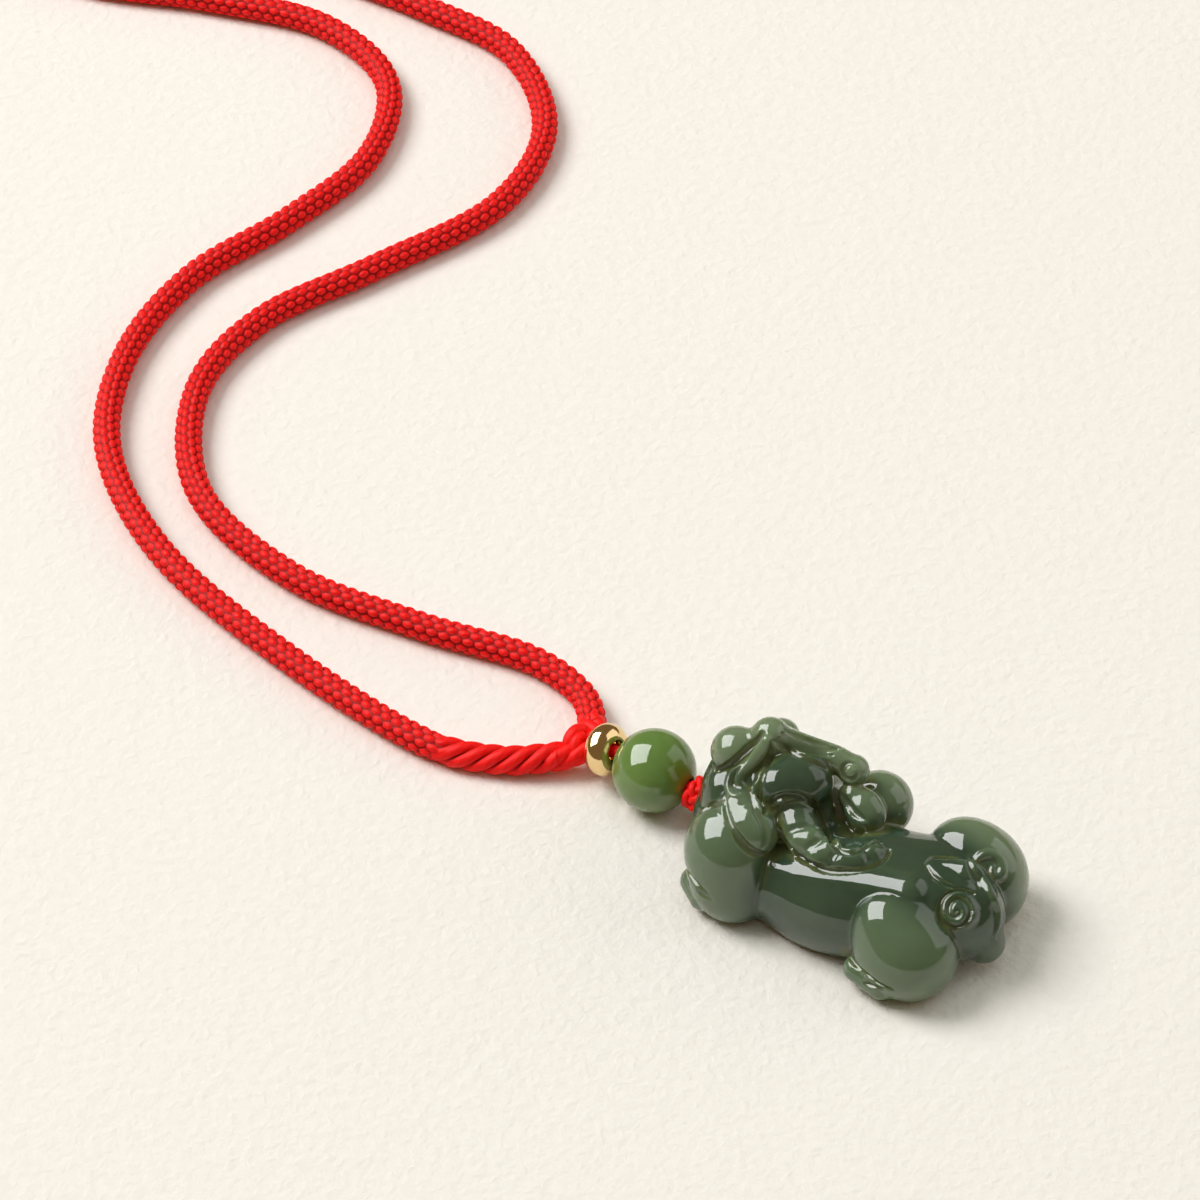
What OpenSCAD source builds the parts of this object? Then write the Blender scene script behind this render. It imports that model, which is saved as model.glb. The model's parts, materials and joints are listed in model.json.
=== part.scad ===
// Jade pendant: a carved pixiu on a red braided neck cord, with a jade bead and a round spacer.
// The pendant lies on its flat underside at z = 0, its head toward -X and its tail toward +X.
// The string runs along -X from the chest, and the neck cord lies on the same surface.

/* [Carving] */
// Length of the beast from chest to tail
beast_length = 32; // [27:0.5:39]
// Width of the beast over its haunches
beast_width = 21; // [18:0.5:25]
// Height of the beast from its underside to its crown
beast_height = 18; // [16:0.5:21]
// Where the chest meets the string, in front of the origin
chest_x = -15; // [-17:0.5:-13]

/* [String] */
// Diameter of the thread through the pieces
thread_d = 1.2; // [0.8:0.1:1.4]
// Play between the thread and every bore
thread_play = 0.2; // [0.15:0.05:0.3]
// Height of the thread where it leaves the chest
thread_z = 3.6; // [3:0.1:4.5]
// Diameter of the knot that ends the thread in the belly
end_knot_d = 2.7; // [2.2:0.1:3]
// Play around the end knot in its pocket
pocket_play = 0.6; // [0.4:0.1:1]
// Play between pieces that touch along the string
piece_play = 0.12; // [0.08:0.02:0.2]
// Play around the red knot in its seat in the chest
seat_play = 0.3; // [0.2:0.05:0.5]

/* [Bead] */
// Diameter of the round jade bead
bead_d = 8; // [6:0.5:10]

/* [Red knot] */
// Diameter of the knot between bead and beast
knot_d = 3.4; // [3:0.1:4]
// Thickness of that knot along the thread
knot_t = 1.6; // [1.2:0.1:2]

/* [Spacer] */
// Diameter of the round metal spacer
spacer_d = 5.1; // [4.4:0.1:6]
// Thickness of the spacer along the thread
spacer_t = 2.9; // [2.4:0.1:3.4]

/* [Cord wrap] */
// Diameter of the wrap that ties the two cord ends
wrap_d = 4.4; // [3.8:0.1:5]
// Length of the wrap along the thread
wrap_t = 2.4; // [1.8:0.1:2.8]

/* [Neck cord] */
// Diameter of the braided neck cord
cord_d = 2.8; // [2:0.1:3.2]

/* [Hidden] */
$fn = 48;

// Round lumps of the beast: x as a share of its length from the chest, y of half its width,
// z and the radius of its height. Columns: x, y, z, r
LUMPS = [
    [0.80,  0.48, 0.275, 0.29],   // right haunch
    [0.80, -0.48, 0.275, 0.29],   // left haunch
    [0.84,  0.00, 0.27,  0.25],   // rump
    [0.23,  0.19, 0.62,  0.26],   // head, turned to its right
    [0.31,  0.03, 0.68,  0.21],   // nape
    [0.15,  0.42, 0.52,  0.18],   // muzzle
    [0.24,  0.15, 0.885, 0.105],  // crown
    [0.13, -0.08, 0.77,  0.13],   // left brow
    [0.47,  0.39, 0.47,  0.095],  // right ear
    [0.50,  0.53, 0.38,  0.183],  // folded right wing
    [0.88, -0.15, 0.38,  0.13],   // left curl of the tail
    [0.88,  0.28, 0.44,  0.09],   // right curl of the tail
];

// Long lumps of the beast, in the same shares, each from one ball to another.
// Columns: x, y, z, r of the first ball, x, y, z, r of the second
LIMBS = [
    [0.25,  0.23, 0.24,  0.255, 0.74,  0.23, 0.235, 0.255],  // right side of the trunk
    [0.25, -0.23, 0.24,  0.255, 0.74, -0.23, 0.235, 0.255],  // left side of the trunk
    [0.28,  0.00, 0.28,  0.28,  0.75,  0.00, 0.25,  0.28],   // spine
    [0.13, -0.06, 0.265, 0.24,  0.16, -0.06, 0.56,  0.24],   // chest and neck
    [0.18,  0.57, 0.46,  0.20,  0.22,  0.62, 0.18,  0.20],   // right foreleg
    [0.18, -0.57, 0.46,  0.20,  0.22, -0.62, 0.18,  0.20],   // left foreleg
    [0.14,  0.72, 0.10,  0.11,  0.19,  0.76, 0.10,  0.11],   // right forepaw
    [0.14, -0.72, 0.10,  0.11,  0.19, -0.76, 0.10,  0.11],   // left forepaw
    [0.71,  0.83, 0.095, 0.105, 0.81,  0.80, 0.10,  0.105],  // right hind paw
    [0.71, -0.83, 0.095, 0.105, 0.81, -0.80, 0.10,  0.105],  // left hind paw
    [0.21,  0.00, 0.86,  0.06,  0.18, -0.34, 0.68,  0.05],   // left horn
    [0.28,  0.25, 0.84,  0.065, 0.41,  0.40, 0.67,  0.09],   // right horn
    [0.21, -0.44, 0.59,  0.08,  0.30, -0.53, 0.43,  0.10],   // left ear, hanging
    [0.34, -0.29, 0.56,  0.06,  0.47, -0.46, 0.52,  0.08],   // front of the left wing
    [0.47, -0.46, 0.52,  0.08,  0.61, -0.27, 0.52,  0.065],  // back of the left wing
    [0.78,  0.00, 0.46,  0.07,  0.89,  0.05, 0.42,  0.10],   // root of the tail
    [0.90,  0.05, 0.40,  0.10,  0.96,  0.05, 0.125, 0.105],  // hanging end of the tail
];

// Where the end knot sits, as shares of the beast's length from the chest and of its height
POCKET_X = 0.35;
POCKET_Z = 0.095;

bore_d = thread_d + 2 * thread_play;
bead_z = bead_d / 2;
bead_x = chest_x - 2 * piece_play - knot_t - bead_d / 2;
pocket = [chest_x + POCKET_X * beast_length, 0, POCKET_Z * beast_height];
pocket_d = end_knot_d + 2 * pocket_play;
pocket_h = pocket[2] + pocket_d / 2;
chest_mouth = [chest_x, 0, thread_z];
bead_front = [bead_x + bead_d / 2, 0, bead_z];
bead_back = [bead_x - bead_d / 2 - piece_play, 0, bead_z];
knot_at = chest_mouth + unit(bead_front - chest_mouth) * (knot_t / 2 + piece_play);
wrap_lift = 0.2;
spacer_gap = 1.6;
tilt_play = 3 * piece_play;
wrap_at = [bead_back[0] - spacer_t - spacer_gap, 0, wrap_d / 2 + wrap_lift];
spacer_at = bead_back + unit(wrap_at - bead_back) * (spacer_t / 2 + tilt_play);

// Points of the neck cord's middle line, from below the wrap round to its far side.
// The stretch between the two marks isn't seen in use and takes the plain way round.
CORD_LIFT = 0.06;
CORD_Z = cord_d / 2 + CORD_LIFT;
CORD_POINTS = [
    [-30.4, -2.1, CORD_Z + 0.5], [-35.2, -5.4, CORD_Z], [-43, -7.5, CORD_Z], [-60, -5.9, CORD_Z],
    [-78, -1.7, CORD_Z], [-91.5, 6.7, CORD_Z], [-98.8, 18.6, CORD_Z], [-100.7, 32, CORD_Z],
    [-97.9, 45, CORD_Z], [-97, 57.5, CORD_Z], [-102.6, 68.4, CORD_Z], [-114, 72.1, CORD_Z],
    [-127, 68.5, CORD_Z],
    // Plain way round, from here
    [-141, 63, CORD_Z], [-157, 63, CORD_Z], [-168.5, 74, CORD_Z], [-171, 91, CORD_Z],
    [-162, 111, CORD_Z], [-143, 126.5, CORD_Z], [-118, 130.5, CORD_Z], [-99, 121, CORD_Z],
    [-98.5, 109, CORD_Z], [-108, 103, CORD_Z], [-121, 101.5, CORD_Z], [-130, 95, CORD_Z],
    [-129.3, 85.5, CORD_Z], [-119.5, 80.5, CORD_Z],
    // Plain way round, up to here
    [-107.5, 80.8, CORD_Z], [-95, 80.2, CORD_Z], [-84.6, 72, CORD_Z], [-81.5, 59, CORD_Z],
    [-86.2, 44, CORD_Z], [-90.9, 31, CORD_Z], [-89.6, 18.5, CORD_Z], [-80.4, 7.2, CORD_Z],
    [-66, 3.2, CORD_Z], [-52, 4.8, CORD_Z], [-40.5, 7.3, CORD_Z], [-33.5, 6.2, CORD_Z],
    [-29.6, 2.5, CORD_Z + 0.7],
];
CORD_RINGS = 80;
CORD_SIDES = 8;
THREAD_SIDES = 12;
BALL_SIDES = 16;

// How far a cut runs past the face that it opens
CUT_RUN = 4;

function unit(v) = v / norm(v);

// The place at s on the smooth curve through the points, where s counts the points from 0
function on_curve(p, s) =
    let (
        last = len(p) - 1,
        i = min(floor(s), last - 1),
        f = s - i,
        a = p[max(i - 1, 0)],
        b = p[i],
        c = p[i + 1],
        d = p[min(i + 2, last)]
    ) b + f / 2 * (c - a + f * (2 * a - 5 * b + 4 * c - d + f * (3 * (b - c) + d - a)));

function curve_line(p, count) = [for (k = [0 : count - 1]) on_curve(p, k * (len(p) - 1) / (count - 1))];

function heading(p, i) = unit(p[min(i + 1, len(p) - 1)] - p[max(i - 1, 0)]);

// A ring of points around a place of the line, whose flats lie at the radius
function ring(at, dir, r, sides) =
    let (side = unit(cross(dir, [0, 0, 1])), up = cross(side, dir), corner = r / cos(180 / sides))
    [for (k = [0.5 : sides]) at + corner * (cos(360 * k / sides) * side + sin(360 * k / sides) * up)];

module tube(line, r, sides) {
    rings = len(line);
    points = [for (i = [0 : rings - 1]) each ring(line[i], heading(line, i), r, sides)];
    start = [for (k = [sides - 1 : -1 : 0]) k];
    end = [for (k = [0 : sides - 1]) (rings - 1) * sides + k];
    walls = [
        for (i = [0 : rings - 2], k = [0 : sides - 1])
            let (a = i * sides + k, b = i * sides + (k + 1) % sides)
            each [[a, b, b + sides], [a, b + sides, a + sides]]
    ];
    polyhedron(points, concat([start], walls, [end]));
}

// Lays what is drawn along +Z from the origin along the way from one point to another
module along(from, to) {
    way = to - from;
    translate(from)
        rotate([0, acos(way[2] / norm(way)), atan2(way[1], way[0])])
            children();
}

// A ring with a round rim, middle plane at z = 0
module round_ring(d, t, bore) {
    rotate_extrude()
        difference() {
            union() {
                translate([d / 2 - t / 2, 0]) circle(d = t);
                translate([0, -t / 2]) square([d / 2 - t / 2, t]);
            }
            translate([-d, -d]) square([d + bore / 2, 2 * d]);
        }
}

// A ball of the beast, from its shares
module ball(x, y, z, r) {
    translate([chest_x + x * beast_length, y * beast_width / 2, z * beast_height])
        sphere(r = r * beast_height, $fn = BALL_SIDES);
}

module beast_mass() {
    for (row = LUMPS)
        ball(row[0], row[1], row[2], row[3]);
    for (row = LIMBS)
        hull() {
            ball(row[0], row[1], row[2], row[3]);
            ball(row[4], row[5], row[6], row[7]);
        }
}

module pixiu_carving() {
    color([0.20, 0.33, 0.26])
        difference() {
            beast_mass();
            // Flat underside
            translate([-beast_length, -beast_width, -beast_height])
                cube([3 * beast_length, 2 * beast_width, beast_height]);
            // Bore for the thread, from the pocket out through the chest
            along(pocket, chest_mouth) cylinder(d = bore_d, h = norm(chest_mouth - pocket) + CUT_RUN);
            // Seat for the red knot in front of the chest
            along(chest_mouth, knot_at) cylinder(d = knot_d + 2 * seat_play, h = CUT_RUN);
            // Pocket for the end knot
            translate([pocket[0], 0, -CUT_RUN]) cylinder(d = pocket_d, h = pocket_h + CUT_RUN);
        }
}

module jade_bead() {
    color([0.32, 0.46, 0.24])
        translate([bead_x, 0, bead_z])
            difference() {
                sphere(d = bead_d);
                rotate([0, 90, 0]) cylinder(d = bore_d, h = 2 * bead_d, center = true);
            }
}

module bead_knot() {
    color([0.78, 0.05, 0.06])
        along(knot_at, bead_front) round_ring(knot_d, knot_t, bore_d);
}

module gold_spacer() {
    color([0.86, 0.66, 0.36])
        along(spacer_at, wrap_at) round_ring(spacer_d, spacer_t, bore_d);
}

module cord_wrap() {
    color([0.78, 0.05, 0.06])
        along(wrap_at, bead_back) round_ring(wrap_d, wrap_t, bore_d);
}

module hanging_thread() {
    color([0.70, 0.04, 0.05]) {
        translate(pocket) sphere(d = end_knot_d);
        tube([pocket, chest_mouth, bead_front, bead_back, wrap_at], thread_d / 2, THREAD_SIDES);
    }
}

module neck_cord() {
    color([0.82, 0.06, 0.07])
        tube(curve_line(CORD_POINTS, CORD_RINGS), cord_d / 2, CORD_SIDES);
}

pixiu_carving();
jade_bead();
bead_knot();
gold_spacer();
hanging_thread();
cord_wrap();
neck_cord();
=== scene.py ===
# %% [markdown]
# # A jade pendant on a red neck cord
# The object is a small carved beast of dark green jade. It lies on its flat base on pale felt, and a string
# of bead, knot and gold spacer joins it to a braided neck cord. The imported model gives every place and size;
# this script adds the finish. Lengths below are in millimetres, as a jeweller gives them, and MM makes them
# metres where Blender needs them.

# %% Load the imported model
import json
import math

import bmesh
import bpy
import numpy as np
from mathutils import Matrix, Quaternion, Vector


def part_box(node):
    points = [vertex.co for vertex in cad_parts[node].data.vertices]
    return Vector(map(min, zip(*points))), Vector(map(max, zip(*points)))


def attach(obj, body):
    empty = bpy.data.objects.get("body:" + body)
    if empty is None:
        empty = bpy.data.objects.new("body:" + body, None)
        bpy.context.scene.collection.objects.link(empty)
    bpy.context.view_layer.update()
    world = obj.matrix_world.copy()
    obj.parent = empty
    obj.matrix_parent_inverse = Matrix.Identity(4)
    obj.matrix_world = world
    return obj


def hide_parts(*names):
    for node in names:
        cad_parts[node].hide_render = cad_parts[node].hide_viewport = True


MM = 0.001
TURN = 2 * math.pi
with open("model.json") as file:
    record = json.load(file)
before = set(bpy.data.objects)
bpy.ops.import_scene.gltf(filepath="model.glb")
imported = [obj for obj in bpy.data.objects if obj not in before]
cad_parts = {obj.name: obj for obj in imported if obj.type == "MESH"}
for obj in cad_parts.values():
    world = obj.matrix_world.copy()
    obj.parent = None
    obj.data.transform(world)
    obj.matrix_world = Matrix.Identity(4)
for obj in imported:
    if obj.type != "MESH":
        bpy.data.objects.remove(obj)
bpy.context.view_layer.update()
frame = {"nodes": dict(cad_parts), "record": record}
slots = [entry["slot"] for entry in frame["record"]["materials"]]
print("nodes", sorted(frame["nodes"]))
print("slots", slots)


def node_box(name):
    low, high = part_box(name)
    return np.array(low) / MM, np.array(high) / MM


# %% [markdown]
# ## The camera
# The picture was taken from above at 45 degrees with a long lens, which keeps the beast's sides nearly
# parallel. The camera looks at one point of the surface from a fixed distance, so its place follows from two
# angles. Its axes are kept, because later cells draw lines on the stone as the picture shows them.

# %% Set up the camera
PICTURE = 1200
LENS = 180.0
SENSOR = 36.0
VIEW_AZIMUTH = math.radians(35)
VIEW_ELEVATION = math.radians(45)
VIEW_DISTANCE = 585.0
VIEW_AIM = np.array([-40.29, 18.889, 0.0])

right = np.array([math.cos(VIEW_AZIMUTH), math.sin(VIEW_AZIMUTH), 0.0])
toward = np.array([
    math.sin(VIEW_AZIMUTH) * math.cos(VIEW_ELEVATION),
    -math.cos(VIEW_AZIMUTH) * math.cos(VIEW_ELEVATION),
    math.sin(VIEW_ELEVATION),
])
above = np.cross(toward, right)
eye = VIEW_AIM + VIEW_DISTANCE * toward

camera_data = bpy.data.cameras.new("camera")
camera_data.lens = LENS
camera_data.sensor_width = SENSOR
camera_data.clip_start = 10 * MM
camera_data.clip_end = 10.0
camera = bpy.data.objects.new("camera", camera_data)
bpy.context.scene.collection.objects.link(camera)
camera.location = eye * MM
camera.rotation_euler = (math.pi / 2 - VIEW_ELEVATION, 0, VIEW_AZIMUTH)
bpy.context.scene.camera = camera
print("camera at", (eye * MM).round(4).tolist())


def view_ray(pixel):
    """The direction from the camera through a pixel of the picture."""
    across, down = pixel[0] - PICTURE / 2, pixel[1] - PICTURE / 2
    ray = -toward * LENS / SENSOR * PICTURE + right * across - above * down
    return ray / np.linalg.norm(ray)


# %% [markdown]
# ## Helpers for meshes and node trees
# A mesh is handed over as points and faces. A node tree is written as small steps, each of which adds one
# node and joins it to what feeds it, so that the tree reads from top to bottom like a recipe. One function
# opens a group for shaders or for geometry and gives back the sockets at its two ends.

# %% Make meshes and node trees


def make_object(name, points, faces):
    mesh = bpy.data.meshes.new(name)
    mesh.from_pydata([tuple(p) for p in np.asarray(points) * MM], [], faces)
    mesh.update()
    mesh.shade_smooth()
    obj = bpy.data.objects.new(name, mesh)
    bpy.context.scene.collection.objects.link(obj)
    return obj


class Tree:
    """Writes a node tree step by step. What is fed to a node is a number, a vector or another's socket."""

    def __init__(self, tree):
        self.tree = tree

    def feed(self, sockets, values):
        for key, value in values.items():
            if isinstance(value, bpy.types.NodeSocket):
                self.tree.links.new(value, sockets[key])
            else:
                sockets[key].default_value = value

    def add(self, kind, inputs=None, out=0, **settings):
        made = self.tree.nodes.new(kind)
        for key, value in settings.items():
            setattr(made, key, value)
        self.feed(made.inputs, inputs or {})
        return made.outputs[out]

    def math(self, operation, *values):
        return self.add("ShaderNodeMath", dict(enumerate(values)), operation=operation)

    def times(self, first, second):
        return self.math("MULTIPLY", first, second)

    def plus(self, first, second):
        return self.math("ADD", first, second)

    def minus(self, first, second):
        return self.math("SUBTRACT", first, second)

    def vector(self, operation, *values):
        inputs = dict(enumerate(values))
        if operation == "SCALE":
            inputs = {0: values[0], "Scale": values[1]}
        return self.add("ShaderNodeVectorMath", inputs, operation=operation)

    def noise(self, place, scale, detail, **more):
        return self.add("ShaderNodeTexNoise", {"Vector": place, "Scale": scale, "Detail": detail, **more})

    def mix(self, share, first, second):
        return self.add("ShaderNodeMix", {0: share, 6: first, 7: second}, out=2, data_type="RGBA")

    def bump(self, strength, distance, height):
        return self.add("ShaderNodeBump", {"Strength": strength, "Distance": distance, "Height": height})


FLOAT, COLOUR, VECTOR = "NodeSocketFloat", "NodeSocketColor", "NodeSocketVector"
INT, MATERIAL, GEOMETRY = "NodeSocketInt", "NodeSocketMaterial", "NodeSocketGeometry"


def new_group(kind, name, inputs, outputs):
    """A node group, its writer, and the sockets at its two ends."""
    group = bpy.data.node_groups.new(name, kind)
    for in_out, sockets in (("INPUT", inputs), ("OUTPUT", outputs)):
        for label, sort in sockets.items():
            group.interface.new_socket(label, in_out=in_out, socket_type=sort)
    given = group.nodes.new("NodeGroupInput").outputs
    return group, Tree(group), given, group.nodes.new("NodeGroupOutput").inputs


print("socket kinds", [kind[10:] for kind in (FLOAT, COLOUR, VECTOR, INT, MATERIAL, GEOMETRY)])

# %% [markdown]
# ## The route of the neck cord
# The cord is one loop of 549 mm. It lies on the surface as it fell, in two loose waves side by side, and the
# far part of the loop goes round outside the picture. Its middle line is a smooth curve through the listed
# points, the same ones as in the imported model.

# %% Lay out the cord's middle line
CORD_D = 2.8
CORD_Z = CORD_D / 2 + 0.06
CORD_WAY = [
    (-30.4, -2.1), (-35.2, -5.4), (-43, -7.5), (-60, -5.9), (-78, -1.7), (-91.5, 6.7), (-98.8, 18.6),
    (-100.7, 32), (-97.9, 45), (-97, 57.5), (-102.6, 68.4), (-114, 72.1), (-127, 68.5),
    # Plain way round, from here
    (-141, 63), (-157, 63), (-168.5, 74), (-171, 91), (-162, 111), (-143, 126.5), (-118, 130.5),
    (-99, 121), (-98.5, 109), (-108, 103), (-121, 101.5), (-130, 95), (-129.3, 85.5), (-119.5, 80.5),
    # Plain way round, up to here
    (-107.5, 80.8), (-95, 80.2), (-84.6, 72), (-81.5, 59), (-86.2, 44), (-90.9, 31), (-89.6, 18.5),
    (-80.4, 7.2), (-66, 3.2), (-52, 4.8), (-40.5, 7.3), (-33.5, 6.2), (-29.6, 2.5),
]
# The two ends lie a little higher, on their way up into the wrap
END_LIFTS = (0.5, 0.7)
CORD_POINTS = [[x, y, CORD_Z] for x, y in CORD_WAY]
CORD_POINTS[0][2] += END_LIFTS[0]
CORD_POINTS[-1][2] += END_LIFTS[1]


def smooth_line(points, steps):
    """A smooth curve through the points, with so many steps from each point to the next."""
    p = np.array(points, float)
    line = []
    for i in range(len(p) - 1):
        a, b, c, d = p[max(i - 1, 0)], p[i], p[i + 1], p[min(i + 2, len(p) - 1)]
        for f in np.arange(steps) / steps:
            line.append(b + f / 2 * (c - a + f * (2 * a - 5 * b + 4 * c - d + f * (3 * (b - c) + d - a))))
    line.append(p[-1])
    return np.array(line)


def steps_of(line):
    return np.linalg.norm(np.diff(line, axis=0), axis=1)


def line_length(line):
    return float(steps_of(line).sum())


def run_along(line):
    """How far along the line each of its points is."""
    return np.r_[0, np.cumsum(steps_of(line))]


def even_line(line, count):
    """The same line with its points spread evenly along it."""
    run = run_along(line)
    places = np.linspace(0, run[-1], count)
    return np.column_stack([np.interp(places, run, line[:, k]) for k in range(3)])


cord_route = smooth_line(CORD_POINTS, 16)
cord_length = line_length(cord_route)
print("neck cord", round(cord_length, 1), "mm long")


# %% [markdown]
# ## Shader helpers
# Two effects are shared by several finishes, so each is a shader node group with named inputs. The first
# makes cloudy changes of colour inside a stone. The second makes the fine twisted fibres of silk yarn, read
# from an attribute that runs along and around each yarn, because a pattern in space would not follow it.

# %% Build the shared node groups


def build_clouds():
    group, tree, given, gives = new_group(
        "ShaderNodeTree", "stone_clouds",
        {"Dark": COLOUR, "Light": COLOUR, "Size": FLOAT, "Amount": FLOAT},
        {"Color": COLOUR, "Clouds": FLOAT},
    )
    place = tree.add("ShaderNodeTexCoord", out=3)
    broad = tree.noise(place, given["Size"], 3.0, Distortion=0.6)
    fine = tree.noise(place, tree.times(given["Size"], 7.0), 4.0)
    both = tree.math("MULTIPLY_ADD", fine, 0.2, broad)
    spread_out = tree.math("MULTIPLY_ADD", both, 2.4, -0.95)
    clouds = tree.add("ShaderNodeClamp", {"Value": tree.times(spread_out, given["Amount"])})
    tree.feed(gives, {"Color": tree.mix(clouds, given["Dark"], given["Light"]), "Clouds": clouds})
    return group


def build_fibres():
    group, tree, given, gives = new_group(
        "ShaderNodeTree", "silk_fibres",
        {"Yarn": VECTOR, "Ply turn": FLOAT, "Dark": COLOUR, "Light": COLOUR},
        {"Color": COLOUR, "Height": FLOAT},
    )
    parts = tree.add("ShaderNodeSeparateXYZ", {0: given["Yarn"]})
    across, up, along_yarn = [parts.node.outputs[k] for k in range(3)]
    angle = tree.math("ARCTAN2", up, across)
    twisted = tree.math("MULTIPLY_ADD", along_yarn, given["Ply turn"], angle)
    round_x, round_y = tree.math("COSINE", twisted), tree.math("SINE", twisted)
    slow = tree.times(along_yarn, 0.12)
    place = tree.add("ShaderNodeCombineXYZ", {0: round_x, 1: round_y, 2: slow})
    fibres = tree.noise(place, 7.0, 2.0, Roughness=0.6)
    plies = tree.math("SINE", tree.times(twisted, 5.0))
    height = tree.math("MULTIPLY_ADD", plies, 0.18, fibres)
    tone = tree.add("ShaderNodeMapRange", {"Value": height, "From Min": 0.2, "From Max": 0.75})
    tree.feed(gives, {"Color": tree.mix(tone, given["Dark"], given["Light"]), "Height": height})
    return group


stone_clouds = build_clouds()
silk_fibres = build_fibres()


def new_material(name):
    material = bpy.data.materials.new(name)
    material.use_nodes = True
    tree = Tree(material.node_tree)
    shader = material.node_tree.nodes["Principled BSDF"]
    return material, tree, shader.inputs


print("groups", stone_clouds.name, silk_fibres.name)


# %% [markdown]
# ## Red silk
# The cord is braided from glossy red yarn. Light catches each oval of yarn near its top, and the gaps between
# are darkened to a deep red as painted shade. The fibre group colours it along its plies and gives the height
# for a fine bump.

# %% Make the silk
RED_DARK = (0.88, 0.004, 0.003, 1)
RED_LIGHT = (0.98, 0.010, 0.007, 1)
# Painted shade: the colour that the gaps between the braid's cells are darkened towards
RED_GAP_SHADE = (0.30, 0.001, 0.001, 1)
PLY_TURN = 0.9


def make_silk(name, find_yarn):
    """Silk whose fibres follow the yarn coordinates that find_yarn adds to the tree."""
    material, tree, shader = new_material(name)
    fibres = tree.add(
        "ShaderNodeGroup",
        {"Yarn": find_yarn(tree), "Ply turn": PLY_TURN, "Dark": RED_DARK, "Light": RED_LIGHT},
        node_tree=silk_fibres,
    ).node.outputs
    # Painted shade: the deeper a point lies in a gap between cells, the darker its red
    gap = tree.add("ShaderNodeAttribute", out=2, attribute_name="gap")
    painted_gap_shade = tree.add("ShaderNodeMapRange", {"Value": gap, "From Min": 0.35, "From Max": 0.95})
    tree.feed(shader, {
        "Base Color": tree.mix(painted_gap_shade, fibres["Color"], RED_GAP_SHADE),
        "Normal": tree.bump(0.5, 0.00005, fibres["Height"]),
        "Roughness": 0.5,
        "Specular IOR Level": 0.16,
        "Sheen Weight": 0.05,
        "Sheen Roughness": 0.35,
        "Sheen Tint": (1.0, 0.25, 0.22, 1),
    })
    return material


silk = make_silk("red_silk", lambda tree: tree.add("ShaderNodeAttribute", out=1, attribute_name="yarn"))
print("silk", silk.name)


# %% [markdown]
# ## The braid
# The cord is a round braid of ten yarns. Outside, only the short stretches show where a yarn passes over
# another, so the cord looks like plump oval cells in ten columns, each column half a cell ahead of the next.
# That follows a rule, so Geometry Nodes make it: a fine tube is laid along the route, and each of its points
# is lifted by where it is in its cell. The tube's rings and sides are counted so that a point always falls
# in the gap between two cells, which keeps the gaps crisp. Ten whole yarns would need twice the faces. Near
# the bead the lower strand's end is twisted into a rope of four plump plies.

# %% Write the braid's node tree


def points_of(obj):
    return np.array([vertex.co for vertex in obj.data.vertices]) / MM


def run_group(obj, group, values):
    """Runs a geometry node group on an object and keeps the result as a plain mesh."""
    modifier = obj.modifiers.new(group.name, "NODES")
    modifier.node_group = group
    for item in group.interface.items_tree:
        if item.in_out == "INPUT" and item.name in values:
            modifier[item.identifier] = values[item.name]
    depsgraph = bpy.context.evaluated_depsgraph_get()
    made = obj.evaluated_get(depsgraph)
    mesh = bpy.data.meshes.new_from_object(made, preserve_all_data_layers=True, depsgraph=depsgraph)
    obj.modifiers.clear()
    obj.data = mesh


COLUMNS, CELL_SIDES, CELL_STEPS = 10, 4, 6
PLIES, ROPE_TURN = 4, 8.2


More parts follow.
